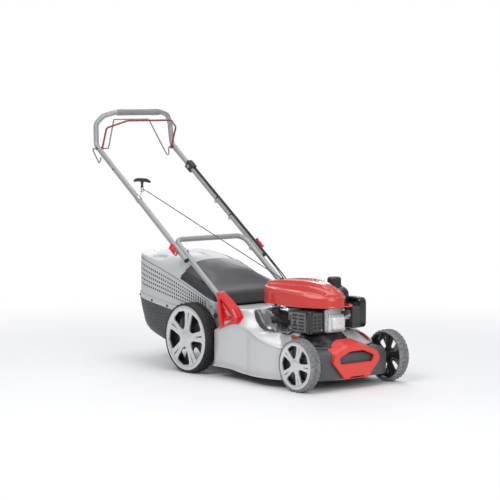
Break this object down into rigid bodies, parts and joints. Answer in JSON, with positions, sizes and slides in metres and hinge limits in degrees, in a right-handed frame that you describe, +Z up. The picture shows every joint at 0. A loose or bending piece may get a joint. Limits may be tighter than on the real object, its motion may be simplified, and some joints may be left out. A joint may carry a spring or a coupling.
{
  "type": "petrol lawn mower",
  "caption": "Self-propelled petrol lawn mower with a steel deck, grass box, folding tube handle, brake and drive levers, recoil starter and turning blade.",
  "frame": {"origin": "on the ground below the middle of the overall box", "axes": "+X forward, +Y to the left of whoever pushes, +Z up"},
  "size_m": [1.498, 0.544, 1.0403],
  "materials": {
    "deck_paint": "light metallic silver, satin",
    "black_plastic": "fine grained moulding",
    "red_plastic": "glossy moulding",
    "cowl_red": "high gloss",
    "plate_steel": "dark coated steel plate",
    "tube_steel": "satin silver tube",
    "bright_steel": "zinc plated",
    "cast_alloy": "sand cast",
    "fin_alloy": "dark cast fins",
    "cover_alloy": "bright bead blasted",
    "tyre_front": "grey block tread",
    "tyre_rear": "black bar tread",
    "rim_black": "moulded spokes",
    "hub_silver": "silver painted",
    "box_grey": "light grey moulding",
    "tray_dark": "dark grey moulding",
    "flap_dark": "soft sheen moulding",
    "grip_rubber": "soft grey sleeve",
    "bail_red": "dark red powder coat",
    "cord_grey": "braided cord",
    "cable_black": "cable sheath",
    "heat_steel": "heat stained",
    "belt_rubber": "ribbed belt",
    "blade_steel": "ground cutting edges"
  },
  "bodies": {
    "deck": {"deck_shell": "deck_paint", "front_apron": "black_plastic", "carry_handle": "red_plastic", "front_axle": "bright_steel", "handle_brackets": "red_plastic", "handle_lugs": "plate_steel", "pivot_pins": "black_plastic", "discharge_chute": "black_plastic", "gearbox": "cast_alloy", "drive_belt": "belt_rubber", "engine_block": "cast_alloy", "engine_cylinder": "fin_alloy", "valve_cover": "cover_alloy", "muffler": "heat_steel", "muffler_guard": "black_plastic", "fuel_tank": "black_plastic", "air_cleaner": "black_plastic", "carburettor": "cast_alloy", "cowl": "cowl_red", "filler_tube": "black_plastic", "spark_plug": "black_plastic", "starter_rope": "cord_grey"},
    "crank": {"flywheel": "cast_alloy", "crankshaft": "bright_steel", "crank_pulley": "bright_steel", "blade_fixings": "bright_steel", "blade": "blade_steel"},
    "gearbox_input": {"gearbox_pulley": "bright_steel"},
    "drive_axle": {"rear_axle": "bright_steel"},
    "recoil_drum": {"starter_drum": "black_plastic"},
    "tank_cap": {"fuel_cap": "black_plastic"},
    "oil_dipstick": {"dipstick": "black_plastic"},
    "lower_frame": {"lower_handle": "tube_steel"},
    "upper_frame": {"upper_handle": "tube_steel", "handle_grip": "grip_rubber", "fold_bolts": "bright_steel", "rope_guide": "bright_steel", "cable_clamp": "black_plastic", "brake_cable": "cable_black", "drive_cable": "cable_black"},
    "lever_right": {"cam_lever_right": "red_plastic"},
    "lever_left": {"cam_lever_left": "red_plastic"},
    "pull_grip": {"starter_grip": "black_plastic"},
    "brake_lever": {"brake_bail": "bail_red"},
    "drive_lever": {"drive_bail": "tube_steel"},
    "flap": {"rear_flap": "flap_dark"},
    "grass_box": {"bag_upper": "box_grey", "bag_lower": "tray_dark"},
    "wheel_fr": {"tyre_fr": "tyre_front", "rim_fr": "rim_black", "hubcap_fr": "hub_silver"},
    "wheel_fl": {"tyre_fl": "tyre_front", "rim_fl": "rim_black", "hubcap_fl": "hub_silver"},
    "wheel_rr": {"tyre_rr": "tyre_rear", "rim_rr": "rim_black", "hubcap_rr": "hub_silver"},
    "wheel_rl": {"tyre_rl": "tyre_rear", "rim_rl": "rim_black", "hubcap_rl": "hub_silver"}
  },
  "joints": [
    {"name": "wheel_fr_spin", "type": "hinge", "parent": "deck", "child": "wheel_fr", "pos_m": [0.64898, 0, 0.1], "axis": [0, 1, 0], "continuous": true},
    {"name": "wheel_fl_spin", "type": "hinge", "parent": "deck", "child": "wheel_fl", "pos_m": [0.64898, 0, 0.1], "axis": [0, 1, 0], "continuous": true},
    {"name": "wheel_rr_spin", "type": "hinge", "parent": "deck", "child": "wheel_rr", "pos_m": [0.00098, 0, 0.14], "axis": [0, 1, 0], "continuous": true},
    {"name": "wheel_rl_spin", "type": "hinge", "parent": "deck", "child": "wheel_rl", "pos_m": [0.00098, 0, 0.14], "axis": [0, 1, 0], "continuous": true},
    {"name": "axle_spin", "type": "hinge", "parent": "deck", "child": "drive_axle", "pos_m": [0.00098, 0, 0.14], "axis": [0, 1, 0], "continuous": true},
    {"name": "crank_spin", "type": "hinge", "parent": "deck", "child": "crank", "pos_m": [0.43398, 0, 0.058], "axis": [0, 0, 1], "continuous": true},
    {"name": "pulley_spin", "type": "hinge", "parent": "deck", "child": "gearbox_input", "pos_m": [0.03498, 0.118, 0.158], "axis": [0, 0, 1], "continuous": true},
    {"name": "handle_tilt", "type": "hinge", "parent": "deck", "child": "lower_frame", "pos_m": [0.10698, 0, 0.236], "axis": [0, 1, 0], "range_deg": [0, 50], "deforming": ["starter_rope", "brake_cable", "drive_cable"]},
    {"name": "handle_fold", "type": "hinge", "parent": "lower_frame", "child": "upper_frame", "pos_m": [-0.12484, 0, 0.46832], "axis": [0, -1, 0], "range_deg": [-130, 0], "deforming": ["starter_rope", "brake_cable", "drive_cable"]},
    {"name": "lever_right_turn", "type": "hinge", "parent": "upper_frame", "child": "lever_right", "pos_m": [-0.12484, -0.222, 0.46832], "axis": [0.5736, 0, 0.8192], "range_deg": [0, 100]},
    {"name": "lever_left_turn", "type": "hinge", "parent": "upper_frame", "child": "lever_left", "pos_m": [-0.12484, 0.222, 0.46832], "axis": [-0.5736, 0, -0.8192], "range_deg": [0, 100]},
    {"name": "brake_lever_swing", "type": "hinge", "parent": "upper_frame", "child": "brake_lever", "pos_m": [-0.70398, 0, 0.87384], "axis": [0, -1, 0], "range_deg": [0, 26]},
    {"name": "drive_lever_swing", "type": "hinge", "parent": "upper_frame", "child": "drive_lever", "pos_m": [-0.70398, 0, 0.87384], "axis": [0, 1, 0], "range_deg": [0, 17]},
    {"name": "flap_swing", "type": "hinge", "parent": "deck", "child": "flap", "pos_m": [0.08898, 0, 0.31], "axis": [0, 1, 0], "range_deg": [0, 24], "deforming": ["starter_rope"]},
    {"name": "grass_box_pull", "type": "slide", "parent": "deck", "child": "grass_box", "axis": [-1, 0, 0], "range_m": [0, 0.3]},
    {"name": "tank_cap_turn", "type": "hinge", "parent": "deck", "child": "tank_cap", "pos_m": [0.47698, 0.098, 0.37], "axis": [0, 0, 1], "range_deg": [0, 90]},
    {"name": "dipstick_turn", "type": "hinge", "parent": "deck", "child": "oil_dipstick", "pos_m": [0.36798, -0.112, 0.24], "axis": [-0.5409, -0.7686, 0.3416], "range_deg": [0, 180]},
    {"name": "starter_pull", "type": "slide", "parent": "upper_frame", "child": "pull_grip", "axis": [-0.2996, 0.0499, 0.9528], "range_m": [0, 0.4], "deforming": ["starter_rope"]},
    {"name": "recoil_drum_turn", "type": "hinge", "parent": "deck", "child": "recoil_drum", "pos_m": [0.43398, 0, 0.345], "axis": [0, 0, 1], "range_deg": [0, 575]}
  ],
  "couplings": [
    {"joint": "pulley_spin", "follows": "crank_spin", "ratio": 0.61905},
    {"joint": "recoil_drum_turn", "follows": "starter_pull", "rad_per_m": 25}
  ]
}
